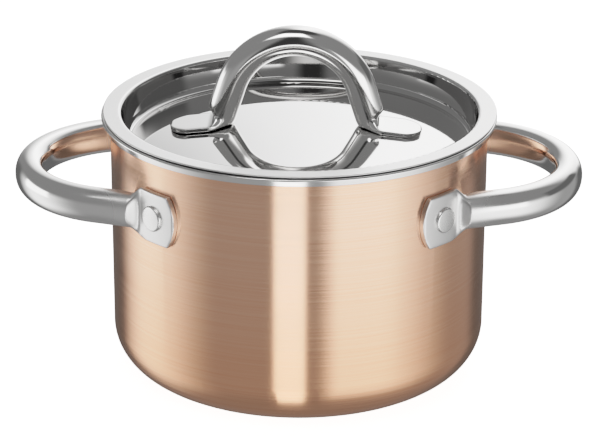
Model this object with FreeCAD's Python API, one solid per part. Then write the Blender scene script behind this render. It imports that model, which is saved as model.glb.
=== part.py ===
import FreeCAD, Part

import math
import os

# A two-handled saucepan with a recessed steel lid. Millimetres, +Z up. The origin is on the
# surface it stands on, below the middle of the pot. The side handles point along +X and -X.

Vector = FreeCAD.Vector

# Pot: three bonded plies, drawn into one cup
POT_RADIUS = 82.5  # outer face of the copper
BASE_DISC_THICKNESS = 0.6
BASE_DISC_RADIUS = 64.0
BASE_DISC_EDGE = 0.2  # rounding of its rim
COPPER = 0.4
ALUMINIUM = 1.4
LINER = 0.5
CORNER_RADIUS = 20.0  # outer face, between the bottom and the wall

# Pouring lip: the wall flares out, droops a little, and the liner covers its cut edge
LIP_TOP = 117.1
FLARE_RADIUS = 2.2  # outer face of the copper
LIP_DROOP = math.radians(8.0)
LIP_RUN = 0.6  # straight stretch after the flare
LIP_CAP = 0.5  # liner over the cut edge
LIP_HEM = 0.65  # how far the cap hangs below the copper
LIP_UPPER_ROUND = 0.8
LIP_LOWER_ROUND = 0.2

# Lid pan: a flange over the lip, and a recess whose floor bulges up as part of a sphere
LID_SHEET = 0.75
FLANGE_TOP = 118.2
FLANGE_RADIUS = 85.9
RECESS_TOP_RADIUS = 77.9
RECESS_DRAFT = math.radians(8.4)
DOME_TOP = 111.1
DOME_RADIUS = 400.0
FLANGE_ROLL = 1.6
FLOOR_FILLET = 3.0
LID_SHIFT = Vector(0.3, 0.5, 0)  # how the lid happens to be set down
LID_TURN = -2.5  # degrees, likewise

# Side handles: oval tube bent to a loop, its ends pressed flat against the wall
HANDLE_HEIGHT = 89.2
LOOP_CENTRE = 72.5
LOOP_RADIUS = 45.7
LOOP_ARC = 72.0  # degrees of the loop on each side of its outermost point
BEND_RADIUS = 15.0  # where the tube turns along the wall
TUBE_HALF_WIDTH = 6.45
TUBE_HALF_HEIGHT = 7.7
TUBE_SQUARENESS = 2.15
TUBE_WALL = 1.2
MINIMUM_HOLLOW = 1.0  # half the inside thickness at which the pressed tube has closed
TAB_THICKNESS = 2.4
TAB_HALF_HEIGHT = 11.3
TAB_END_RADIUS = 18.5
TAB_TIP_ANGLE = 52.2  # degrees from the X axis round the pot
TAB_SPARE = 3.0  # degrees of tube past the tip, trimmed off
PRESS_START = 56.0  # along the path from the loop's outermost point
PRESS_END = 79.0
TAB_FLATTENED = 3.5  # added squareness: nearer a flat bar than a tube is
PRESS_INTO_WALL = 0.4  # trimmed off again, so that the tab fits the wall's curve

# Rivets: one per tab
RIVET_ANGLE = 43.9  # degrees from the X axis
RIVET_SHANK_RADIUS = 3.0
RIVET_FIT = 0.03
RIVET_HEAD_RADIUS = 5.6
RIVET_HEAD_HEIGHT = 1.4
RIVET_INNER_HEIGHT = 1.2
RIVET_ROUND = 0.5
SEAT_GAP = 0.02  # between a formed face and the curved face it sits on

# Lid handle: round tube bent to an arch, its feet pressed flat on the lid's floor
ARCH_RADIUS = 29.6
ARCH_CROWN = 148.6
ARCH_ARC = 72.0  # degrees of the arch on each side of its crown
ARCH_TUBE_RADIUS = 6.65
FOOT_BEND_RADIUS = 9.0
FOOT_THICKNESS = 2.2
FOOT_HALF_WIDTH = 10.0
FOOT_MIDDLE = 46.0  # where the foot's slope is that of the dome
FOOT_REACH = 55.0
FOOT_SPARE = 3.0  # tube past the foot's end, trimmed off
FOOT_END_RADIUS = 10.6
FOOT_PRESS_START = 46.0  # along the path from the crown
FOOT_PRESS_END = 60.0
FOOT_PRESS_SPARE = 0.1  # trimmed off again, so that the foot fits the dome
FOOT_FLATTENED = 3.5
HANDLE_SHIFT = Vector(-1.7, 0, 0)  # the handle isn't quite in the middle of the lid

# Pressed tubes: the sections that each loft goes through
SIDE_SPACING = 3.5  # along the path, from one section to the next
ARCH_SPACING = 4.0
SECTION_POINTS = 32  # that each section's curve goes through
ROUND = 2.0  # squareness of a circle or an ellipse

OVERLAP = 0.5  # between shapes joined into one
CLEAR = 30.0  # half the side of a cutting tool, larger than any end it trims

WALL = COPPER + ALUMINIUM + LINER
FLARE_CENTRE_R = POT_RADIUS + FLARE_RADIUS
FLARE_CENTRE_Z = LIP_TOP - FLARE_RADIUS - WALL
INNER_RADIUS = POT_RADIUS - WALL
TAB_SEAT = POT_RADIUS + TAB_THICKNESS + PRESS_INTO_WALL  # under the rivets' outer heads
DOME_CENTRE = Vector(0, 0, DOME_TOP - DOME_RADIUS)


# Arcs and directions

def arc_edge(centre, radius, start_direction, end_direction):
    middle = (start_direction + end_direction).normalize()
    return Part.Arc(centre + start_direction * radius, centre + middle * radius,
                    centre + end_direction * radius).toShape()


def plan_direction(degrees):
    return Vector(math.cos(math.radians(degrees)), math.sin(math.radians(degrees)), 0)


# Profiles: closed outlines of (radius, height, rounding) corners, turned about Z

def rounded_outline(corners):
    """A wire in the XZ plane through the corners, each with its own rounding."""
    entries = []
    exits = []
    middles = []
    count = len(corners)
    for index, (r, z, rounding) in enumerate(corners):
        here = Vector(r, 0, z)
        before = Vector(corners[index - 1][0], 0, corners[index - 1][1]) - here
        after = Vector(corners[(index + 1) % count][0], 0, corners[(index + 1) % count][1]) - here
        before.normalize()
        after.normalize()
        half = before.getAngle(after) / 2
        reach = rounding / math.tan(half)
        bisector = (before + after).normalize() if rounding else Vector()
        entries.append(here + before * reach)
        exits.append(here + after * reach)
        middles.append(here + bisector * (rounding / math.sin(half) - rounding))
    edges = []
    for index, (_, _, rounding) in enumerate(corners):
        if rounding:
            edges.append(Part.Arc(entries[index], middles[index], exits[index]).toShape())
        nearby = entries[(index + 1) % count]
        edges.append(Part.LineSegment(exits[index], nearby).toShape())
    return Part.Wire(edges)


def turned(corners):
    return Part.Face(rounded_outline(corners)).revolve(Vector(), Vector(0, 0, 1), 360)


def lip_end(depth, run):
    """The end of the wall surface that lies `depth` inside the outer face."""
    flare = FLARE_RADIUS + depth
    r = FLARE_CENTRE_R + flare * math.sin(LIP_DROOP) + run * math.cos(LIP_DROOP)
    z = FLARE_CENTRE_Z + flare * math.cos(LIP_DROOP) - run * math.sin(LIP_DROOP)
    return r, z


def wall_surface(depth, run, end_rounding=0.0):
    """Corners from the bottom's middle, up the wall and out along the lip."""
    radius = POT_RADIUS - depth
    bottom = BASE_DISC_THICKNESS + depth
    flare = FLARE_RADIUS + depth
    flare_corner = FLARE_CENTRE_Z + flare * math.tan(math.pi / 4 + LIP_DROOP / 2)
    return [
        (0.0, bottom, 0.0),
        (radius, bottom, CORNER_RADIUS - depth),
        (radius, flare_corner, flare),
        (*lip_end(depth, run), end_rounding),
    ]


def ply(outer_depth, inner_depth):
    return turned(wall_surface(inner_depth, LIP_RUN) + wall_surface(outer_depth, LIP_RUN)[::-1])


def liner():
    inside = wall_surface(WALL, LIP_RUN + LIP_CAP, LIP_UPPER_ROUND)
    cap = [
        (*lip_end(-LIP_HEM, LIP_RUN + LIP_CAP), LIP_LOWER_ROUND),
        (*lip_end(-LIP_HEM, LIP_RUN), LIP_LOWER_ROUND),
        (*lip_end(0.0, LIP_RUN), 0.0),
    ]
    outside = wall_surface(COPPER + ALUMINIUM, LIP_RUN)[::-1]
    return turned(inside + cap + outside)


def base_disc():
    return turned([
        (0.0, 0.0, 0.0),
        (BASE_DISC_RADIUS, 0.0, BASE_DISC_EDGE),
        (BASE_DISC_RADIUS, BASE_DISC_THICKNESS, BASE_DISC_EDGE),
        (0.0, BASE_DISC_THICKNESS, 0.0),
    ])


def pan_face(depth):
    """The pan's face `depth` below its upper one, as edges from the rim to the axis."""
    up = Vector(0, 0, 1)
    into_recess = Vector(-math.cos(RECESS_DRAFT), 0, math.sin(RECESS_DRAFT))
    down_wall = Vector(-math.sin(RECESS_DRAFT), 0, -math.cos(RECESS_DRAFT))
    brink = Vector(RECESS_TOP_RADIUS, 0, FLANGE_TOP)
    roll_out = FLANGE_ROLL * (1 - math.sin(RECESS_DRAFT)) / math.cos(RECESS_DRAFT)
    roll_centre = brink + Vector(roll_out, 0, -FLANGE_ROLL)
    # The fillet touches the wall and the dome, so its centre lies FLOOR_FILLET from the one
    # and DOME_RADIUS + FLOOR_FILLET from the other's centre.
    beside_wall = brink + into_recess * FLOOR_FILLET
    offset = beside_wall - DOME_CENTRE
    slope = offset.dot(down_wall)
    reach = DOME_RADIUS + FLOOR_FILLET
    run = -slope - math.sqrt(slope ** 2 - offset.dot(offset) + reach ** 2)
    fillet_centre = beside_wall + down_wall * run
    onto_dome = (fillet_centre - DOME_CENTRE).normalize()
    roll = arc_edge(roll_centre, FLANGE_ROLL - depth, up, into_recess)
    fillet = arc_edge(fillet_centre, FLOOR_FILLET + depth, into_recess * -1, onto_dome * -1)
    dome = arc_edge(DOME_CENTRE, DOME_RADIUS - depth, onto_dome, up)
    rim = Vector(FLANGE_RADIUS - LID_SHEET / 2, 0, FLANGE_TOP - depth)
    return [
        Part.LineSegment(rim, roll.firstVertex().Point).toShape(),
        roll,
        Part.LineSegment(roll.lastVertex().Point, fillet.firstVertex().Point).toShape(),
        fillet,
        dome,
    ]


def lid_pan():
    upper = pan_face(0.0)
    lower = pan_face(LID_SHEET)
    rim = Vector(FLANGE_RADIUS - LID_SHEET / 2, 0, FLANGE_TOP - LID_SHEET / 2)
    edge = [
        arc_edge(rim, LID_SHEET / 2, Vector(0, 0, 1), Vector(1, 0, 0)),
        arc_edge(rim, LID_SHEET / 2, Vector(1, 0, 0), Vector(0, 0, -1)),
    ]
    middle = Part.LineSegment(
        Vector(0, 0, DOME_TOP), Vector(0, 0, DOME_TOP - LID_SHEET)
    ).toShape()
    profile = Part.Wire(Part.sortEdges([*upper, middle, *lower, *edge])[0])
    return Part.Face(profile).revolve(Vector(), Vector(0, 0, 1), 360)


# Pressed tubes: a loft through sections that go from round to flat along a path

def eased(distance, start, end):
    share = min(max((distance - start) / (end - start), 0.0), 1.0)
    return share * share * (3 - 2 * share)


def section(point, across, along_width, half_thickness, half_width, squareness):
    """A closed curve about `point`: an ellipse if ROUND, nearer a flat bar the squarer it is."""
    power = ROUND / squareness
    points = []
    for step in range(SECTION_POINTS):
        angle = 2 * math.pi * (step + 0.5) / SECTION_POINTS
        c = math.cos(angle)
        s = math.sin(angle)
        points.append(
            point
            + across * (half_thickness * math.copysign(abs(c) ** power, c))
            + along_width * (half_width * math.copysign(abs(s) ** power, s))
        )
    curve = Part.BSplineCurve()
    curve.interpolate(Points=points, PeriodicFlag=True)
    return Part.Wire(curve.toShape())


def path_frames(edges, spacing):
    """(distance, point, direction) at even steps along a chain of lines and arcs."""
    frames = []
    start = 0.0
    for edge in edges:
        first, last = edge.ParameterRange
        steps = max(2, round(edge.Length / spacing))
        for step in range(steps + (edge is edges[-1])):
            share = step / steps
            parameter = first + (last - first) * share
            frames.append((start + edge.Length * share, edge.valueAt(parameter),
                           edge.tangentAt(parameter)))
        start += edge.Length
    return frames


def mirrored(vector, normal):
    return vector - normal * (2 * vector.dot(normal))


def both_ways(frames, normal):
    """The half path's frames, led in by those of its mirror image."""
    led_in = [
        (distance, mirrored(point, normal), mirrored(direction, normal) * -1)
        for distance, point, direction in frames[:0:-1]
    ]
    return led_in + frames


def pressed_tube(edges, spacing, width_axis, sizes, mirror_normal):
    """One solid along a half path and its mirror image, hollow where it isn't pressed flat."""
    outer = []
    inner = []
    for distance, point, direction in both_ways(path_frames(edges, spacing), mirror_normal):
        across = direction.cross(width_axis)
        thickness, width, squareness = sizes(distance)
        outer.append(section(point, across, width_axis, thickness, width, squareness))
        if thickness - TUBE_WALL > MINIMUM_HOLLOW:
            inner.append(section(point, across, width_axis, thickness - TUBE_WALL,
                                 width - TUBE_WALL, squareness))
    return Part.makeLoft(outer, True).cut(Part.makeLoft(inner, True))


# Side handles

def side_path():
    """Half of the right loop's centre line, from its outermost point to past the tab's tip."""
    loop_centre = Vector(LOOP_CENTRE, 0, 0)
    loop = arc_edge(loop_centre, LOOP_RADIUS, plan_direction(0), plan_direction(LOOP_ARC))
    leave = loop_centre + plan_direction(LOOP_ARC) * LOOP_RADIUS
    heading = plan_direction(LOOP_ARC + 90)
    outside = plan_direction(LOOP_ARC)
    tab_radius = POT_RADIUS + TAB_THICKNESS / 2
    # The bend is beside the straight run and outside the tab's arc, so its centre lies
    # BEND_RADIUS from the one and tab_radius + BEND_RADIUS from the pot's axis.
    offset = leave + outside * BEND_RADIUS
    reach = offset.dot(heading)
    run = -reach - math.sqrt(reach ** 2 - offset.dot(offset) + (tab_radius + BEND_RADIUS) ** 2)
    bend_centre = offset + heading * run
    wall_angle = math.degrees(math.atan2(bend_centre.y, bend_centre.x))
    bend_start = leave + heading * run
    edges = [
        loop,
        Part.LineSegment(leave, bend_start).toShape(),
        arc_edge(bend_centre, BEND_RADIUS, outside * -1, plan_direction(wall_angle) * -1),
        arc_edge(Vector(), tab_radius, plan_direction(wall_angle),
                 plan_direction(TAB_TIP_ANGLE + TAB_SPARE)),
    ]
    lift = Vector(0, 0, HANDLE_HEIGHT)
    return [edge.translated(lift) for edge in edges]


def side_sizes(distance):
    flat = eased(distance, PRESS_START, PRESS_END)
    pressed = TAB_THICKNESS / 2 + PRESS_INTO_WALL
    thickness = TUBE_HALF_WIDTH + (pressed - TUBE_HALF_WIDTH) * flat
    height = TUBE_HALF_HEIGHT + (TAB_HALF_HEIGHT - TUBE_HALF_HEIGHT) * flat
    return thickness, height, TUBE_SQUARENESS + TAB_FLATTENED * flat


def tab_end_trim(angle):
    """Everything beyond the rounded tip of one tab."""
    tip = plan_direction(angle) * POT_RADIUS
    sideways = Vector(0, 0, 1).cross(plan_direction(angle))
    box = Part.makeBox(CLEAR, 2 * CLEAR, 2 * CLEAR, Vector(-CLEAR / 2, 0, -CLEAR))
    drum = Part.makeCylinder(TAB_END_RADIUS, 2 * CLEAR, Vector(-CLEAR, 0, 0), Vector(1, 0, 0))
    trim = box.cut(drum)
    trim.rotate(Vector(), Vector(0, 0, 1), angle)
    trim.translate(tip - sideways * TAB_END_RADIUS + Vector(0, 0, HANDLE_HEIGHT))
    return trim


def rivet_axis_place(shape, angle):
    """Turns a shape made along +X at height 0 to a rivet's place."""
    placed = shape.rotated(Vector(), Vector(0, 0, 1), angle)
    return placed.translated(Vector(0, 0, HANDLE_HEIGHT))


def rivet_hole(angle):
    drill = Part.makeCylinder(RIVET_SHANK_RADIUS + RIVET_FIT, CLEAR,
                              Vector(POT_RADIUS - CLEAR / 2, 0, 0), Vector(1, 0, 0))
    return rivet_axis_place(drill, angle)


def wall_drum(radius):
    return Part.makeCylinder(radius, FLANGE_TOP)


def side_handle_right():
    handle = pressed_tube(side_path(), SIDE_SPACING, Vector(0, 0, 1), side_sizes, Vector(0, 1, 0))
    handle = handle.cut(wall_drum(POT_RADIUS + SEAT_GAP))
    upper = tab_end_trim(TAB_TIP_ANGLE)
    for tool in (upper, upper.mirror(Vector(), Vector(0, 1, 0))):
        handle = handle.cut(tool)
    for angle in (RIVET_ANGLE, -RIVET_ANGLE):
        handle = handle.cut(rivet_hole(angle))
    return handle


def rivet(angle):
    """A flat outer head, a shank through tab and wall, and a lower head inside the pot."""
    x = Vector(1, 0, 0)
    shank = Part.makeCylinder(RIVET_SHANK_RADIUS, TAB_SEAT - INNER_RADIUS + 2 * OVERLAP,
                              Vector(INNER_RADIUS - OVERLAP, 0, 0), x)
    outer = Part.makeCylinder(RIVET_HEAD_RADIUS, RIVET_HEAD_HEIGHT + OVERLAP,
                              Vector(TAB_SEAT - OVERLAP, 0, 0), x)
    outer = outer.makeFillet(RIVET_ROUND, [outer.Edges[0]])
    inner = Part.makeCylinder(RIVET_HEAD_RADIUS, RIVET_INNER_HEIGHT + OVERLAP,
                              Vector(INNER_RADIUS - RIVET_INNER_HEIGHT, 0, 0), x)
    inner = inner.makeFillet(RIVET_ROUND, [inner.Edges[2]])
    outer = rivet_axis_place(outer, angle).cut(wall_drum(TAB_SEAT + SEAT_GAP))
    inner = rivet_axis_place(inner, angle).common(wall_drum(INNER_RADIUS - SEAT_GAP))
    return rivet_axis_place(shank, angle).fuse([outer, inner]).removeSplitter()


# Lid handle

def foot_end():
    """The middle of the foot's far end on the +X side, and the foot's outward direction."""
    slope = math.asin(FOOT_MIDDLE / DOME_RADIUS)
    onto_dome = Vector(math.sin(slope), 0, math.cos(slope))
    along = Vector(math.cos(slope), 0, -math.sin(slope))
    middle = DOME_CENTRE + onto_dome * (DOME_RADIUS + FOOT_THICKNESS / 2)
    return middle + along * (FOOT_REACH - FOOT_MIDDLE), along


def arch_path():
    """Half of the arch's centre line, from its crown to past the foot's end, on the +X side."""
    centre = Vector(0, 0, ARCH_CROWN - ARCH_RADIUS)
    angle = math.radians(ARCH_ARC)
    outside = Vector(math.sin(angle), 0, math.cos(angle))
    heading = Vector(math.cos(angle), 0, -math.sin(angle))
    leave = centre + outside * ARCH_RADIUS
    end, along = foot_end()
    above_foot = Vector(-along.z, 0, along.x)
    corner = leave + heading * ((end - leave).dot(above_foot) / heading.dot(above_foot))
    reach = FOOT_BEND_RADIUS * math.tan(heading.getAngle(along) / 2)
    bend_end = corner + along * reach
    bend_centre = bend_end + above_foot * FOOT_BEND_RADIUS
    return [
        arc_edge(centre, ARCH_RADIUS, Vector(0, 0, 1), outside),
        Part.LineSegment(leave, corner - heading * reach).toShape(),
        arc_edge(bend_centre, FOOT_BEND_RADIUS, outside * -1, above_foot * -1),
        Part.LineSegment(bend_end, end + along * FOOT_SPARE).toShape(),
    ]


def arch_sizes(distance):
    flat = eased(distance, FOOT_PRESS_START, FOOT_PRESS_END)
    pressed = FOOT_THICKNESS / 2 + FOOT_PRESS_SPARE
    thickness = ARCH_TUBE_RADIUS + (pressed - ARCH_TUBE_RADIUS) * flat
    width = ARCH_TUBE_RADIUS + (FOOT_HALF_WIDTH - ARCH_TUBE_RADIUS) * flat
    return thickness, width, ROUND + FOOT_FLATTENED * flat


def foot_end_trim():
    """Everything beyond the rounded end of the foot on the +X side."""
    low = DOME_TOP - CLEAR
    middle = FOOT_REACH - FOOT_END_RADIUS
    block = Part.makeBox(CLEAR, 2 * CLEAR, 2 * CLEAR, Vector(middle, -CLEAR, low))
    drum = Part.makeCylinder(FOOT_END_RADIUS, 2 * CLEAR, Vector(middle, 0, low))
    return block.cut(drum)


def lid_handle():
    handle = pressed_tube(arch_path(), ARCH_SPACING, Vector(0, 1, 0), arch_sizes, Vector(1, 0, 0))
    handle = handle.cut(Part.makeSphere(DOME_RADIUS + SEAT_GAP, DOME_CENTRE - HANDLE_SHIFT))
    trim = foot_end_trim()
    for tool in (trim, trim.mirror(Vector(), Vector(1, 0, 0))):
        handle = handle.cut(tool)
    return handle.translated(HANDLE_SHIFT).rotated(Vector(), Vector(0, 0, 1), LID_TURN)


# Assembly

def main():
    rivet_angles = {
        "rivet_right_rear": RIVET_ANGLE,
        "rivet_right_front": -RIVET_ANGLE,
        "rivet_left_rear": 180 - RIVET_ANGLE,
        "rivet_left_front": 180 + RIVET_ANGLE,
    }
    right = side_handle_right()
    nodes = {
        "pot_copper_skin": ply(0.0, COPPER),
        "pot_aluminium_core": ply(COPPER, COPPER + ALUMINIUM),
        "pot_steel_liner": liner(),
        "base_disc": base_disc(),
        "side_handle_right": right,
        "side_handle_left": right.mirror(Vector(), Vector(1, 0, 0)),
        "lid_pan": lid_pan().translated(LID_SHIFT),
        "lid_handle": lid_handle().translated(LID_SHIFT),
    }
    for name, angle in rivet_angles.items():
        for pierced in ("pot_copper_skin", "pot_aluminium_core", "pot_steel_liner"):
            nodes[pierced] = nodes[pierced].cut(rivet_hole(angle))
        nodes[name] = rivet(angle)
    os.makedirs("parts", exist_ok=True)
    for name, shape in nodes.items():
        solid = shape.Solids[0] if len(shape.Solids) == 1 else shape
        print(name, shape.isValid(), len(shape.Solids), round(shape.Volume))
        solid.exportStep(f"parts/{name}.step")


main()
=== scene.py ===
import math

import bmesh
import bpy
from mathutils import Matrix, Vector


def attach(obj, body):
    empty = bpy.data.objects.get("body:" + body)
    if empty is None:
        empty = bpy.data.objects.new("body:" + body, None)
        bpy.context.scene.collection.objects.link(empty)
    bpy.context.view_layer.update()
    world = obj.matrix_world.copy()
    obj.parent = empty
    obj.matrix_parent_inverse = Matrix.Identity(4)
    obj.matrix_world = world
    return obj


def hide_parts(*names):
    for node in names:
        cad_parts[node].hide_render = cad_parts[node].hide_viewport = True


# A copper-clad pot and its steel lid: the studio, the metals, and handles and rivets that
# are finer than in the CAD

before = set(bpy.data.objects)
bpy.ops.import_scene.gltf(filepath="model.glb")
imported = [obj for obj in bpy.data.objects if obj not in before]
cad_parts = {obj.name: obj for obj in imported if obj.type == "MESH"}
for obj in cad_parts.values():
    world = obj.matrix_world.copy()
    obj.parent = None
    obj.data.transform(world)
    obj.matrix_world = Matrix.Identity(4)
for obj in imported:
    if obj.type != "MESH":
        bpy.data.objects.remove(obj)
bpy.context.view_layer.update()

MM = 0.001  # in metres

# Camera, seen from the object: in front of it (towards -Y) and above
CAMERA_DISTANCE = 1.150
CAMERA_ELEVATION = math.radians(21.68)
CAMERA_ROLL = math.radians(0.27)
CAMERA_LENS = 155.4  # millimetres, on a 36 mm sensor
AIM = Vector((0.0006, 0.0, 0.0663))

FLOOR_SIZE = 8.0  # metres
FLOOR_GLOW = 1.9

# Light, by direction from the object in degrees: azimuth 0 is the camera's side, 90 is +X.
# Level with the object is a dim belt, darker at the rear. It changes between these azimuths
# on either side.
FRONT_GLOW = 0.36
REAR_GLOW = 0.14
REAR_FADE = (126.0, 142.0)
# A soft box: the azimuths where it starts, is full from and to, and ends, and its brightness
LEFT_BOX = (-140.0, -110.0, -104.0, -50.0, 1.46)
RIGHT_BOX = (12.0, 26.0, 48.0, 110.0, 1.54)
BACKDROP = (112.0, 168.0, 170.0, 204.0, 1.95)
# Higher up is a dim ceiling with the backdrop in it. It takes over from the belt above an
# elevation, within a height. Both change towards the rear, between these azimuths.
CEILING_GLOW = 0.26
CEILING_FROM = -4.0
CEILING_WITHIN = 20.0
BACKDROP_FROM = -14.0
BACKDROP_WITHIN = 12.0
BACKDROP_FADE = (144.0, 158.0)
# High up it is dark, and low down is the glow off the table
OVERHEAD_GLOW = 0.06
OVERHEAD_FADE = (66.0, 76.0)
TABLE_GLOW = 0.28
TABLE_FADE = (-30.0, -60.0)
# Smaller patches: azimuths, elevations, width of the soft border, brightness
PATCHES = (
    ((-52.0, 14.0), (49.0, 73.0), 10.0, 2.4),  # box above the camera
    ((-121.0, -86.0), (-12.0, 9.0), 6.0, 1.95),  # upper part of the left box
    ((12.0, 60.0), (-12.0, 9.0), 6.0, 2.0),  # upper part of the right box
    ((84.0, 138.0), (3.0, 25.0), 9.0, 0.14),  # dark gap beside the backdrop
    ((-15.0, 4.5), (-60.0, -13.0), 2.5, 2.15),  # white strip below the lens
    ((-17.0, 1.0), (-10.0, 42.0), 10.0, 0.04),  # the camera itself
)

# Film response: levels of light, as shares of the white level, and the tones they give
FILM_WHITE = 2.2
FILM_TONES = ((0.075, 0.165), (0.15, 0.33), (0.27, 0.53), (0.40, 0.685), (0.66, 0.85))

# Metals: each varies between two tones
# The copper's first pair is painted shade, darker and deeper in tone, used towards the bottom;
# its second is its own tone higher up
COPPER_LINES_PAINTED_SHADE = ((0.88, 0.460, 0.280), (0.93, 0.54, 0.35))
COPPER_HIGH = ((0.93, 0.555, 0.385), (0.985, 0.64, 0.47))
LOOP_TONES = ((0.80, 0.795, 0.785), (0.88, 0.875, 0.87))
ARCH_TONES = ((0.78, 0.775, 0.765), (0.86, 0.855, 0.85))
LINER_TONES = ((0.78, 0.775, 0.765), (0.86, 0.855, 0.85))
LID_TONES = ((0.80, 0.795, 0.79), (0.85, 0.845, 0.84))
# Painted shade: the recess's wall is darker than the lid's steel, which is the same steel and
# polish
RECESS_WALL_PAINTED_SHADE = ((0.52, 0.515, 0.51), (0.60, 0.595, 0.59))
RIVET_TONES = ((0.84, 0.835, 0.825), (0.90, 0.895, 0.885))
CORE_TONES = ((0.80, 0.80, 0.80), (0.88, 0.88, 0.88))
BASE_TONES = ((0.52, 0.52, 0.51), (0.66, 0.66, 0.65))
COPPER_ROUGHNESS = 0.17
TAB_ROUGHNESS = 0.34
ARM_ROUGHNESS = 0.16
LIP_ROUGHNESS = 0.14

# Where one finish gives way to another, and where painted shade begins or ends, in metres:
# heights
# The copper's painted shade: full at the lower height, gone at the upper
COPPER_SHADE_HEIGHTS = (0.005, 0.100)
LIP_HEIGHTS = (0.1105, 0.1135)
# and distances from the pot's axis
ARM_FINISH = (0.1180, 0.1020)
TAB_FINISH = (0.1000, 0.0900)
FLANGE_FINISH = (0.0778, 0.0800)
# Where the painted shade on the recess's wall begins and ends
RECESS_WALL_FOOT = (0.0735, 0.0752)
RECESS_WALL_TOP = (0.0788, 0.0780)

# The object's sizes in millimetres, as in the CAD
POT_RADIUS = 82.5
HANDLE_HEIGHT = 89.2
LOOP_CENTRE = 72.5
LOOP_RADIUS = 45.7
LOOP_ARC = 72.0
BEND_RADIUS = 15.0
TUBE_HALF_WIDTH = 6.45
TUBE_HALF_HEIGHT = 7.7
TAB_THICKNESS = 2.4
TAB_PROUD = 0.4  # how much further out its outer face stands, as the wall trims the tab
TAB_HALF_HEIGHT = 11.3
TAB_END_RADIUS = 18.5
TAB_TIP_ANGLE = 52.2
INNER_RADIUS = 80.2
RIVET_ANGLE = 43.9
RIVET_SHANK_RADIUS = 3.0
RIVET_HEAD_RADIUS = 5.6
RIVET_HEAD_HEIGHT = 1.4
RIVET_INNER_HEIGHT = 1.2
RIVET_EDGE = 0.9  # radius round the edge of a head
RIVET_CROWN = 0.25  # height of the dome on the outer head
RIVET_SINK = 0.15  # how far a head sits into the curved tab
RIVET_STEPS = 64
LID_SHIFT = (0.3, 0.5, 0.0)
LID_TURN = -2.5
ARCH_SHIFT = (-1.7, 0.0, 0.0)
DOME_TOP = 111.1
DOME_RADIUS = 400.0
ARCH_RADIUS = 29.6
ARCH_CROWN = 148.6
ARCH_ARC = 72.0
ARCH_TUBE_RADIUS = 6.65
FOOT_BEND = 7.5
FOOT_THICKNESS = 2.2
FOOT_HALF_WIDTH = 10.0
FOOT_MIDDLE = 46.0
FOOT_REACH = 55.0
FOOT_END_RADIUS = 10.6

# How the press shapes a tube into a tab or foot. Each window is two distances from the
# start of the bend, in millimetres, between which the tube is thinned, widened or squared.
TAB_THINNED = (1.0, 7.5)
TAB_WIDENED = (1.5, 7.0)
TAB_SQUARED = (5.5, 11.5)
FOOT_THINNED = (-1.5, 6.0)
FOOT_WIDENED = (0.0, 8.5)
FOOT_SQUARED = (1.5, 9.5)
# Squareness of the outline before and after: 2 is an ellipse, more is nearer a rectangle
LOOP_SQUARENESS = (2.15, 9.0)
ARCH_SQUARENESS = (2.0, 8.0)
# The outer face drops away towards the tip
TIP_LENGTH = 0.8
TAB_TIP_DROP = 0.45
FOOT_TIP_DROP = 0.35
# Left free between the tube and the surface behind it
TAB_GAP = 0.06
FOOT_GAP = 0.05
# Sections near the tip, as distances from it: closer where the end rounds off
TAB_TIP_SECTIONS = (4.0, 3.5, 3.0, 2.5, 2.0, 1.5, 1.0, 0.6, 0.3, 0.15, 0.05, 0.01)
FOOT_TIP_SECTIONS = (6.0, 5.0, 4.0, 3.2, 2.5, 1.9, 1.4, 1.0, 0.6, 0.3, 0.12, 0.04, 0.01)
SECTION_POINTS = 72
SHARP_ANGLE = math.radians(40.0)  # edges sharper than this stay crisp

UP = Vector((0.0, 0.0, 1.0))


# Nodes

def link(tree, source, target):
    tree.links.new(source, target)


def math_node(tree, operation, first, second=None, third=None):
    """A Math node fed by sockets or numbers."""
    node = tree.nodes.new("ShaderNodeMath")
    node.operation = operation
    for index, value in enumerate((first, second, third)):
        if value is None:
            continue
        if isinstance(value, (int, float)):
            node.inputs[index].default_value = value
        else:
            link(tree, value, node.inputs[index])
    return node.outputs[0]


def smooth_step(tree, value, low, high):
    """0 below `low`, 1 above `high`, smooth between."""
    node = tree.nodes.new("ShaderNodeMapRange")
    node.interpolation_type = "SMOOTHSTEP"
    node.inputs["From Min"].default_value = low
    node.inputs["From Max"].default_value = high
    link(tree, value, node.inputs["Value"])
    return node.outputs["Result"]


def mix(tree, factor, first, second):
    """A number: `first` where the factor is 0, `second` where it is 1."""
    node = tree.nodes.new("ShaderNodeMix")
    node.data_type = "FLOAT"
    for index, value in ((0, factor), (2, first), (3, second)):
        if isinstance(value, (int, float)):
            node.inputs[index].default_value = value
        else:
            link(tree, value, node.inputs[index])
    return node.outputs[0]


# Studio

def placed(name, data):
    """A new object in the scene, from a mesh or a camera."""
    made = bpy.data.objects.new(name, data)
    bpy.context.scene.collection.objects.link(made)
    return made


def camera():
    data = bpy.data.cameras.new("camera")
    data.lens = CAMERA_LENS
    data.sensor_width = 36.0
    data.clip_start = 0.05
    data.clip_end = 50.0
    made = placed("camera", data)
    back = Vector((0.0, -math.cos(CAMERA_ELEVATION), math.sin(CAMERA_ELEVATION)))
    turn = (-back).to_track_quat("-Z", "Y").to_matrix().to_4x4()
    made.matrix_world = (
        Matrix.Translation(AIM + back * CAMERA_DISTANCE)
        @ turn
        @ Matrix.Rotation(CAMERA_ROLL, 4, "Z")
    )
    bpy.context.scene.camera = made


def window(tree, azimuth, elevation, sideways, upwards, edge):
    """1 inside a rounded patch of directions, 0 outside, `edge` degrees of soft border."""
    factor = None
    for value, (low, high) in ((azimuth, sideways), (elevation, upwards)):
        rise = smooth_step(tree, value, low - edge / 2, low + edge / 2)
        fall = smooth_step(tree, value, high + edge / 2, high - edge / 2)
        part = math_node(tree, "MULTIPLY", rise, fall)
        factor = part if factor is None else math_node(tree, "MULTIPLY", factor, part)
    return factor


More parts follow.
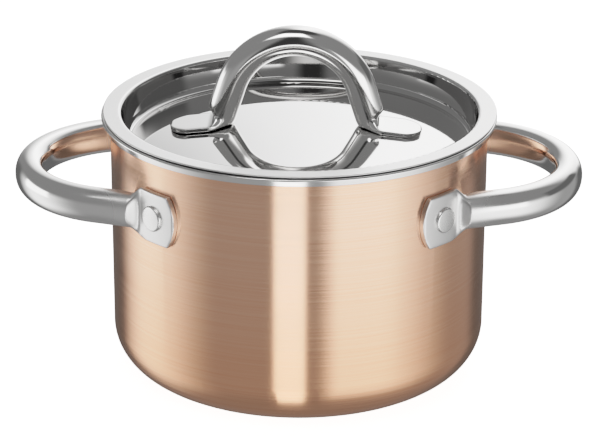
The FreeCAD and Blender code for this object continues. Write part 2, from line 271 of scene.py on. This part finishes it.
def light_sheet(tree, body, azimuth, sheet):
    """A soft box laid over `body`: it fades in, stays full, and fades out."""
    start, full_from, full_to, finish, bright = sheet
    rise = smooth_step(tree, azimuth, start, full_from)
    fall = smooth_step(tree, azimuth, finish, full_to)
    return mix(tree, math_node(tree, "MULTIPLY", rise, fall), body, bright)


def light_tent():
    """A world of soft light: a box on each side, a backdrop behind, and smaller patches."""
    world = bpy.data.worlds.new("light_tent")
    bpy.context.scene.world = world
    world.use_nodes = True
    tree = world.node_tree
    tree.nodes.clear()
    place = tree.nodes.new("ShaderNodeTexCoord")
    split = tree.nodes.new("ShaderNodeSeparateXYZ")
    link(tree, place.outputs["Generated"], split.inputs[0])
    x, y, z = split.outputs
    degree = 180.0 / math.pi
    front = math_node(tree, "MULTIPLY", y, -1.0)
    azimuth = math_node(tree, "MULTIPLY", math_node(tree, "ARCTAN2", x, front), degree)
    elevation = math_node(tree, "MULTIPLY", math_node(tree, "ARCSINE", z), degree)
    either_side = math_node(tree, "ABSOLUTE", azimuth)
    full_turn = math_node(tree, "WRAP", azimuth, 360.0, 0.0)  # for what spans the rear

    rear = smooth_step(tree, either_side, *REAR_FADE)
    belt = mix(tree, rear, FRONT_GLOW, REAR_GLOW)
    belt = light_sheet(tree, belt, azimuth, LEFT_BOX)
    belt = light_sheet(tree, belt, azimuth, RIGHT_BOX)
    upper = light_sheet(tree, CEILING_GLOW, full_turn, BACKDROP)
    behind = smooth_step(tree, either_side, *BACKDROP_FADE)
    start = mix(tree, behind, CEILING_FROM, BACKDROP_FROM)
    within = mix(tree, behind, CEILING_WITHIN, BACKDROP_WITHIN)
    above = math_node(tree, "DIVIDE", math_node(tree, "SUBTRACT", elevation, start), within)
    body = mix(tree, smooth_step(tree, above, 0.0, 1.0), belt, upper)
    body = mix(tree, smooth_step(tree, elevation, *TABLE_FADE), body, TABLE_GLOW)
    body = mix(tree, smooth_step(tree, elevation, *OVERHEAD_FADE), body, OVERHEAD_GLOW)
    for sideways, upwards, edge, bright in PATCHES:
        inside = window(tree, azimuth, elevation, sideways, upwards, edge)
        body = mix(tree, inside, body, bright)

    background = tree.nodes.new("ShaderNodeBackground")
    link(tree, body, background.inputs["Color"])
    output = tree.nodes.new("ShaderNodeOutputWorld")
    link(tree, background.outputs[0], output.inputs["Surface"])


def floor():
    half = FLOOR_SIZE / 2
    mesh = bpy.data.meshes.new("floor")
    corners = [(-half, -half, 0.0), (half, -half, 0.0), (half, half, 0.0), (-half, half, 0.0)]
    mesh.from_pydata(corners, [], [(0, 1, 2, 3)])
    made = placed("floor", mesh)
    material = bpy.data.materials.new("floor_white")
    material.use_nodes = True
    tree = material.node_tree
    shader = tree.nodes["Principled BSDF"]
    shader.inputs["Base Color"].default_value = (0.9, 0.9, 0.9, 1.0)
    shader.inputs["Roughness"].default_value = 0.9
    shader.inputs["Emission Color"].default_value = (1.0, 1.0, 1.0, 1.0)
    shader.inputs["Emission Strength"].default_value = FLOOR_GLOW
    mesh.materials.append(material)
    made.visible_glossy = False


def film_response():
    """Bright tones are held back, so highlights pale instead of clipping."""
    view = bpy.context.scene.view_settings
    view.view_transform = "Standard"
    view.use_curve_mapping = True
    response = view.curve_mapping
    response.white_level = (FILM_WHITE, FILM_WHITE, FILM_WHITE)
    tones = response.curves[3]
    for level, shown in FILM_TONES:
        tones.points.new(level, shown)
    response.update()


# Materials: each is worked out from the object's own coordinates

def new_metal(name):
    made = bpy.data.materials.new(name)
    made.use_nodes = True
    tree = made.node_tree
    shader = tree.nodes["Principled BSDF"]
    shader.inputs["Metallic"].default_value = 1.0
    place = tree.nodes.new("ShaderNodeTexCoord")
    return made, tree, shader, place.outputs["Object"]


def axis_parts(tree, place):
    """x, y, z and the distance from the pot's axis, as sockets."""
    split = tree.nodes.new("ShaderNodeSeparateXYZ")
    link(tree, place, split.inputs[0])
    x, y, z = split.outputs
    squares = [math_node(tree, "MULTIPLY", part, part) for part in (x, y)]
    return x, y, z, math_node(tree, "SQRT", math_node(tree, "ADD", *squares))


def noise(tree, vector, scale, detail=3.0, roughness=0.55):
    node = tree.nodes.new("ShaderNodeTexNoise")
    node.inputs["Scale"].default_value = scale
    node.inputs["Detail"].default_value = detail
    node.inputs["Roughness"].default_value = roughness
    link(tree, vector, node.inputs["Vector"])
    return node.outputs[0]


def ring_noise(tree, place, fineness, length):
    """Noise drawn out into rings round the pot's axis, as brushing on a lathe leaves it.
    `fineness` is its scale across the rings, and `length` along them."""
    x, y, z, radius = axis_parts(tree, place)
    across = math_node(tree, "MULTIPLY", math_node(tree, "SUBTRACT", radius, z), fineness)
    join = tree.nodes.new("ShaderNodeCombineXYZ")
    link(tree, math_node(tree, "MULTIPLY", x, length), join.inputs[0])
    link(tree, math_node(tree, "MULTIPLY", y, length), join.inputs[1])
    link(tree, across, join.inputs[2])
    return noise(tree, join.outputs[0], scale=1.0, detail=4.0, roughness=0.6)


def varied(tree, pattern, least, change):
    """A number that follows a pattern from `least` to `least` plus `change`."""
    return math_node(tree, "MULTIPLY_ADD", pattern, change, least)


def tint(tree, factor, first, second):
    """A colour between two, which are sockets or colours."""
    node = tree.nodes.new("ShaderNodeMix")
    node.data_type = "RGBA"
    link(tree, factor, node.inputs[0])
    for index, colour in ((6, first), (7, second)):
        if isinstance(colour, tuple):
            node.inputs[index].default_value = (*colour, 1.0)
        else:
            link(tree, colour, node.inputs[index])
    return node.outputs[2]


def bump(tree, shader, height, strength, distance):
    node = tree.nodes.new("ShaderNodeBump")
    node.inputs["Strength"].default_value = strength
    node.inputs["Distance"].default_value = distance
    link(tree, height, node.inputs["Height"])
    link(tree, node.outputs[0], shader.inputs["Normal"])


def round_the_axis(tree, shader):
    """Highlights drawn out across the brushing, which runs round the pot's axis."""
    shader.inputs["Anisotropic Rotation"].default_value = 0.25
    tangent = tree.nodes.new("ShaderNodeTangent")
    tangent.direction_type = "RADIAL"
    tangent.axis = "Z"
    link(tree, tangent.outputs[0], shader.inputs["Tangent"])


def brushed_copper():
    """Brushed round the axis, with painted shade: a darker, deeper tone towards the bottom."""
    made, tree, shader, place = new_metal("brushed_copper")
    rings = ring_noise(tree, place, fineness=1900.0, length=9.0)
    lines = smooth_step(tree, rings, 0.24, 0.76)
    clouds = noise(tree, place, scale=16.0)
    # Painted shade: the copper's tone is darker and deeper towards the bottom, fading out by
    # the upper height
    height = smooth_step(tree, axis_parts(tree, place)[2], *COPPER_SHADE_HEIGHTS)
    low = tint(tree, lines, *COPPER_LINES_PAINTED_SHADE)
    high = tint(tree, lines, *COPPER_HIGH)
    link(tree, tint(tree, height, low, high), shader.inputs["Base Color"])
    rough = mix(tree, lines, COPPER_ROUGHNESS - 0.04, COPPER_ROUGHNESS + 0.04)
    link(tree, varied(tree, clouds, least=rough, change=0.05), shader.inputs["Roughness"])
    shader.inputs["Anisotropic"].default_value = 0.92
    round_the_axis(tree, shader)
    bump(tree, shader, lines, strength=0.10, distance=0.00004)
    return made


def polish(tree, shader, place, tones):
    """Polished tube: hairline scratches and clouds in the tone. Returns the clouds."""
    clouds = noise(tree, place, scale=30.0)
    link(tree, tint(tree, clouds, *tones), shader.inputs["Base Color"])
    scratches = noise(tree, place, scale=700.0, detail=2.0)
    bump(tree, shader, scratches, strength=0.03, distance=0.00002)
    return clouds


def polished_steel():
    """The side handles: polished, duller along the arms, and satin on the tabs."""
    made, tree, shader, place = new_metal("polished_steel")
    clouds = polish(tree, shader, place, LOOP_TONES)
    radius = axis_parts(tree, place)[3]
    arm = smooth_step(tree, radius, *ARM_FINISH)
    tab = smooth_step(tree, radius, *TAB_FINISH)
    rough = mix(tree, arm, varied(tree, clouds, least=0.05, change=0.04), ARM_ROUGHNESS)
    link(tree, mix(tree, tab, rough, TAB_ROUGHNESS), shader.inputs["Roughness"])
    return made


def arch_steel():
    made, tree, shader, place = new_metal("arch_steel")
    clouds = polish(tree, shader, place, ARCH_TONES)
    link(tree, varied(tree, clouds, least=0.06, change=0.05), shader.inputs["Roughness"])
    return made


def lid_steel():
    """Satin on the flange and mirror-bright in the recess, with painted shade darkening the
    recess's wall.
    """
    made, tree, shader, place = new_metal("lid_steel")
    rings = ring_noise(tree, place, fineness=3000.0, length=10.0)
    clouds = noise(tree, place, scale=22.0)
    radius = axis_parts(tree, place)[3]
    flange = smooth_step(tree, radius, *FLANGE_FINISH)
    bright = tint(tree, clouds, *LID_TONES)
    # Painted shade on the recess's wall: a darker tone on the same mirror-polished steel
    shaded_wall = tint(tree, clouds, *RECESS_WALL_PAINTED_SHADE)
    past_foot = smooth_step(tree, radius, *RECESS_WALL_FOOT)
    below_top = smooth_step(tree, radius, *RECESS_WALL_TOP)
    wall = math_node(tree, "MULTIPLY", past_foot, below_top)
    link(tree, tint(tree, wall, bright, shaded_wall), shader.inputs["Base Color"])
    mirror = varied(tree, clouds, least=0.02, change=0.02)
    satin = varied(tree, rings, least=0.30, change=0.10)
    link(tree, mix(tree, flange, mirror, satin), shader.inputs["Roughness"])
    height = math_node(tree, "MULTIPLY", rings, flange)
    bump(tree, shader, height, strength=0.05, distance=0.00003)
    return made


def satin_steel():
    """The liner: brushed inside, polished on the pouring lip."""
    made, tree, shader, place = new_metal("satin_steel")
    rings = ring_noise(tree, place, fineness=2600.0, length=12.0)
    lip = smooth_step(tree, axis_parts(tree, place)[2], *LIP_HEIGHTS)
    link(tree, tint(tree, rings, *LINER_TONES), shader.inputs["Base Color"])
    brushed = varied(tree, rings, least=0.26, change=0.12)
    link(tree, mix(tree, lip, brushed, LIP_ROUGHNESS), shader.inputs["Roughness"])
    shader.inputs["Anisotropic"].default_value = 0.5
    round_the_axis(tree, shader)
    bump(tree, shader, rings, strength=0.06, distance=0.00003)
    return made


def turned_metal(name, tones, fineness, roughness):
    """Turned on a lathe, with its tool marks as rings."""
    made, tree, shader, place = new_metal(name)
    rings = ring_noise(tree, place, fineness, length=6.0)
    link(tree, tint(tree, rings, *tones), shader.inputs["Base Color"])
    link(tree, varied(tree, rings, least=roughness, change=0.14), shader.inputs["Roughness"])
    bump(tree, shader, rings, strength=0.10, distance=0.00004)
    return made


def rivet_steel():
    made, tree, shader, place = new_metal("rivet_steel")
    grain = noise(tree, place, scale=500.0, detail=2.0)
    link(tree, tint(tree, grain, *RIVET_TONES), shader.inputs["Base Color"])
    link(tree, varied(tree, grain, least=0.24, change=0.06), shader.inputs["Roughness"])
    bump(tree, shader, grain, strength=0.01, distance=0.00001)
    return made


# Handles and rivets, finer than in the CAD, made in millimetres

def eased(value, start, end):
    """0 at `start`, 1 at `end`, smooth between and level outside."""
    share = min(max((value - start) / (end - start), 0.0), 1.0)
    return share * share * (3.0 - 2.0 * share)


def blend(first, second, share):
    return first + (second - first) * share


def passed(distance, start, window):
    """How far a distance has come through a window after `start`, eased from 0 to 1."""
    return eased(distance, start + window[0], start + window[1])


def steps(start, end, spacing):
    """Evenly spaced distances from `start` up to `end`, which is left for the next stretch."""
    count = max(1, round((end - start) / spacing))
    return [start + (end - start) * index / count for index in range(count)]


def mirrored(half, mirror):
    """Stations of a whole tube: the image of one half, from its tip, and then the half."""
    image = [(point * mirror, across * mirror, *sizes) for point, across, *sizes in half[:0:-1]]
    return image + half


def closed_skin(name, verts, faces):
    """An object of faces turned outwards, shaded smooth but for its sharp edges."""
    mesh = bpy.data.meshes.new(name)
    mesh.from_pydata(verts, [], faces)
    skin = bmesh.new()
    skin.from_mesh(mesh)
    bmesh.ops.recalc_face_normals(skin, faces=skin.faces)
    skin.to_mesh(mesh)
    skin.free()
    mesh.shade_smooth()
    mesh.set_sharp_from_angle(angle=SHARP_ANGLE)
    return placed(name, mesh)


def swept(name, stations, up):
    """A closed skin through sections. A station is its centre, the direction across, the
    reach across and back, the half width along `up`, and the squareness of its outline."""
    count = SECTION_POINTS
    verts = []
    for centre, across, reach, back, width, squareness in stations:
        power = 2.0 / squareness
        for index in range(count):
            angle = 2.0 * math.pi * (index + 0.5) / count
            c = math.cos(angle)
            s = math.sin(angle)
            depth = reach if c > 0 else back
            point = centre + across * (depth * math.copysign(abs(c) ** power, c))
            verts.append((point + up * (width * math.copysign(abs(s) ** power, s))) * MM)
    faces = []
    for row in range(len(stations) - 1):
        for index in range(count):
            after = (index + 1) % count
            a = row * count
            faces.append((a + index, a + after, a + count + after, a + count + index))
    faces.append(tuple(range(count))[::-1])
    last = (len(stations) - 1) * count
    faces.append(tuple(range(last, last + count)))
    return closed_skin(name, verts, faces)


def plan(degrees):
    """A direction seen from above: 0 is +X, 90 is +Y."""
    return Vector((math.cos(math.radians(degrees)), math.sin(math.radians(degrees)), 0.0))


def end_width(from_tip, radius, width):
    """Half the width of a rounded end, at a distance from its tip."""
    if from_tip >= radius:
        return width
    return min(width, math.sqrt(max(radius ** 2 - (radius - from_tip) ** 2, 0.0)))


def side_loop(name, side):
    """The loop handle on one side of the pot: arc, straight arms, bend, tab along the wall."""
    arc_end = LOOP_RADIUS * math.radians(LOOP_ARC)
    centre = Vector((LOOP_CENTRE, 0.0, 0.0))
    leave = centre + plan(LOOP_ARC) * LOOP_RADIUS
    heading = plan(LOOP_ARC + 90.0)
    tab_radius = POT_RADIUS + TAB_THICKNESS / 2
    offset = leave + plan(LOOP_ARC) * BEND_RADIUS
    reach = offset.dot(heading)
    # The arm runs on until the bend just meets the tab's circle round the pot
    run = -reach - math.sqrt(
        reach ** 2 - offset.dot(offset) + (tab_radius + BEND_RADIUS) ** 2
    )
    bend_centre = offset + heading * run
    wall_angle = math.degrees(math.atan2(bend_centre.y, bend_centre.x))
    bend_start = arc_end + run
    bend_end = bend_start + BEND_RADIUS * math.radians(LOOP_ARC - wall_angle)
    tip = bend_end + tab_radius * math.radians(TAB_TIP_ANGLE - wall_angle)

    def at(distance):
        """Centre of the tube, and its outward direction, at a distance from the middle."""
        if distance <= arc_end:
            across = plan(math.degrees(distance / LOOP_RADIUS))
            return centre + across * LOOP_RADIUS, across
        if distance <= bend_start:
            return leave + heading * (distance - arc_end), plan(LOOP_ARC)
        if distance <= bend_end:
            across = plan(LOOP_ARC - math.degrees((distance - bend_start) / BEND_RADIUS))
            return bend_centre - across * BEND_RADIUS, across
        across = plan(wall_angle + math.degrees((distance - bend_end) / tab_radius))
        return across * tab_radius, across

    # Sections stand closest together where the tube is pressed
    fine_start = bend_start - 3.0
    fine_end = bend_end + 3.0
    distances = steps(0.0, arc_end, spacing=2.0)
    distances += steps(arc_end, fine_start, spacing=1.5)
    distances += steps(fine_start, fine_end, spacing=0.5)
    distances += steps(fine_end, tip - TAB_TIP_SECTIONS[0], spacing=1.5)
    distances += [tip - left for left in TAB_TIP_SECTIONS]
    half = []
    for distance in distances:
        point, across = at(distance)
        thinned = passed(distance, bend_start, TAB_THINNED)
        widened = passed(distance, bend_start, TAB_WIDENED)
        square = blend(*LOOP_SQUARENESS, passed(distance, bend_start, TAB_SQUARED))
        drop = TAB_TIP_DROP * eased(tip - distance, TIP_LENGTH, 0.0)
        out = blend(TUBE_HALF_WIDTH, TAB_THICKNESS / 2 + TAB_PROUD - drop, thinned)
        to_wall = point.length - POT_RADIUS - TAB_GAP
        back = min(blend(TUBE_HALF_WIDTH, TAB_THICKNESS / 2, thinned), to_wall)
        width = blend(TUBE_HALF_HEIGHT, TAB_HALF_HEIGHT, widened)
        width = end_width(tip - distance, TAB_END_RADIUS, width)
        half.append((point, across, out, back, width, square))
    turn = Vector((side, 1.0, 1.0))
    lift = UP * HANDLE_HEIGHT
    stations = [
        (point * turn + lift, across * turn, *sizes)
        for point, across, *sizes in mirrored(half, Vector((1.0, -1.0, 1.0)))
    ]
    return swept(name, stations, UP)


def rivet(name, angle):
    """A rivet turned round its own axis: domed outer head, shank, and inner head."""
    seat = POT_RADIUS + TAB_THICKNESS + TAB_PROUD
    base = seat - RIVET_SINK
    inner_face = INNER_RADIUS - RIVET_INNER_HEIGHT
    outer_face = seat + RIVET_HEAD_HEIGHT
    shoulder = outer_face - RIVET_CROWN
    flat = RIVET_HEAD_RADIUS - RIVET_EDGE
    quarter = [math.radians(15.0 * index) for index in range(7)]
    # Outline as distances from the pot's axis and from the rivet's own axis
    outline = [(inner_face, flat * share) for share in (0.0, 0.5)]
    outline += [
        (inner_face + RIVET_EDGE * (1.0 - math.cos(a)), flat + RIVET_EDGE * math.sin(a))
        for a in quarter
    ]
    outline += [(INNER_RADIUS, RIVET_HEAD_RADIUS), (INNER_RADIUS, RIVET_SHANK_RADIUS)]
    outline += [(base, RIVET_SHANK_RADIUS), (base, RIVET_HEAD_RADIUS)]
    outline += [
        (shoulder - RIVET_EDGE * (1.0 - math.sin(a)), flat + RIVET_EDGE * math.cos(a))
        for a in quarter
    ]
    outline += [
        (outer_face - RIVET_CROWN * share ** 2, flat * share)
        for share in (0.75, 0.5, 0.25, 0.0)
    ]
    place = Matrix.Scale(MM, 4) @ Matrix.Translation(UP * HANDLE_HEIGHT)
    place @= Matrix.Rotation(math.radians(angle), 4, "Z")
    verts = []
    rings = []
    for along, across in outline:
        count = RIVET_STEPS if across else 1  # one point where the outline meets the axis
        rings.append(range(len(verts), len(verts) + count))
        for index in range(count):
            a = 2.0 * math.pi * index / count
            point = Vector((along, across * math.cos(a), across * math.sin(a)))
            verts.append(place @ point)
    faces = []
    for ring, following in zip(rings, rings[1:]):
        for index in range(RIVET_STEPS):
            corners = [ring[i % len(ring)] for i in (index, index + 1)]
            corners += [following[i % len(following)] for i in (index + 1, index)]
            faces.append(tuple(dict.fromkeys(corners)))  # a triangle next to the axis
    return closed_skin(name, verts, faces)


def lid_arch(name):
    """The arch on the lid: arc, legs that stay round to the bottom, and pressed feet."""
    dome_centre = Vector((0.0, 0.0, DOME_TOP - DOME_RADIUS))
    slope = math.asin(FOOT_MIDDLE / DOME_RADIUS)
    normal = Vector((math.sin(slope), 0.0, math.cos(slope)))
    along = Vector((math.cos(slope), 0.0, -math.sin(slope)))
    foot_end = dome_centre + normal * (DOME_RADIUS + FOOT_THICKNESS / 2)
    foot_end += along * (FOOT_REACH - FOOT_MIDDLE)
    angle = math.radians(ARCH_ARC)
    centre = Vector((0.0, 0.0, ARCH_CROWN - ARCH_RADIUS))
    outside = Vector((math.sin(angle), 0.0, math.cos(angle)))
    heading = Vector((math.cos(angle), 0.0, -math.sin(angle)))
    leave = centre + outside * ARCH_RADIUS
    leg = (foot_end - leave).dot(normal) / heading.dot(normal)
    corner = leave + heading * leg
    turn = heading.angle(along)
    reach = FOOT_BEND * math.tan(turn / 2)
    arc_end = ARCH_RADIUS * angle
    bend_start = arc_end + leg - reach
    bend_end = bend_start + FOOT_BEND * turn
    bend_centre = corner - heading * reach + outside * FOOT_BEND
    tip = bend_end + (foot_end - corner).dot(along) - reach

    def at(distance):
        """Centre of the tube, and its outward direction, at a distance from the crown."""
        if distance <= arc_end:
            a = distance / ARCH_RADIUS
            across = Vector((math.sin(a), 0.0, math.cos(a)))
            return centre + across * ARCH_RADIUS, across
        if distance <= bend_start:
            return leave + heading * (distance - arc_end), outside
        if distance <= bend_end:
            a = angle - (distance - bend_start) / FOOT_BEND
            across = Vector((math.sin(a), 0.0, math.cos(a)))
            return bend_centre - across * FOOT_BEND, across
        return foot_end + along * (distance - tip), normal

    # Sections stand closest together where the tube is pressed
    fine_start = bend_start - 3.0
    fine_end = bend_end + 2.0
    distances = steps(0.0, arc_end, spacing=1.5)
    distances += steps(arc_end, fine_start, spacing=1.5)
    distances += steps(fine_start, fine_end, spacing=0.4)
    distances += steps(fine_end, tip - FOOT_TIP_SECTIONS[0], spacing=1.0)
    distances += [tip - left for left in FOOT_TIP_SECTIONS]
    half = []
    for distance in distances:
        point, across = at(distance)
        thinned = passed(distance, bend_start, FOOT_THINNED)
        widened = passed(distance, bend_start, FOOT_WIDENED)
        square = blend(*ARCH_SQUARENESS, passed(distance, bend_start, FOOT_SQUARED))
        drop = FOOT_TIP_DROP * eased(tip - distance, TIP_LENGTH, 0.0)
        out = blend(ARCH_TUBE_RADIUS, FOOT_THICKNESS / 2 - drop, thinned)
        # The section reaches back as far as the dome below allows
        from_dome = point - dome_centre
        above = from_dome.length - DOME_RADIUS - FOOT_GAP
        facing = max(across.dot(from_dome.normalized()), 0.05)
        back = min(ARCH_TUBE_RADIUS, above / facing)
        width = blend(ARCH_TUBE_RADIUS, FOOT_HALF_WIDTH, widened)
        width = end_width(tip - distance, FOOT_END_RADIUS, width)
        half.append((point, across, out, back, width, square))
    stations = mirrored(half, Vector((-1.0, 1.0, 1.0)))
    made = swept(name, stations, Vector((0.0, 1.0, 0.0)))
    place = Matrix.Translation(Vector(LID_SHIFT) * MM)
    place @= Matrix.Rotation(math.radians(LID_TURN), 4, "Z")
    place @= Matrix.Translation(Vector(ARCH_SHIFT) * MM)
    made.data.transform(place)
    return made


def dress(node, material):
    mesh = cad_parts[node].data
    mesh.materials.clear()
    mesh.materials.append(material)


camera()
light_tent()
floor()
tube = polished_steel()
rivet_head = rivet_steel()
wardrobe = {
    "pot_copper_skin": brushed_copper(),
    "pot_aluminium_core": turned_metal(
        "core_aluminium", CORE_TONES, fineness=2000.0, roughness=0.30
    ),
    "pot_steel_liner": satin_steel(),
    "base_disc": turned_metal("base_steel", BASE_TONES, fineness=1800.0, roughness=0.26),
    "side_handle_right": tube,
    "side_handle_left": tube,
    "lid_pan": lid_steel(),
    "lid_handle": arch_steel(),
}
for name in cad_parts:
    dress(name, wardrobe.get(name, rivet_head))

# Each finer piece, with the node it replaces, the body it rides on, its material and slot
finer = [
    (side_loop("loop_right", 1.0), "side_handle_right", "pot", tube, "polished_steel"),
    (side_loop("loop_left", -1.0), "side_handle_left", "pot", tube, "polished_steel"),
    (lid_arch("arch"), "lid_handle", "lid", wardrobe["lid_handle"], "polished_steel"),
]
rivet_angles = {
    "right_rear": RIVET_ANGLE,
    "right_front": -RIVET_ANGLE,
    "left_rear": 180.0 - RIVET_ANGLE,
    "left_front": 180.0 + RIVET_ANGLE,
}
for place, angle in rivet_angles.items():
    turned = rivet(f"turned_rivet_{place}", angle)
    finer.append((turned, f"rivet_{place}", "pot", rivet_head, "rivet_steel"))
for piece, node, body, material, slot in finer:
    piece.data.materials.append(material)
    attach(piece, body)
    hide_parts(node)

film_response()
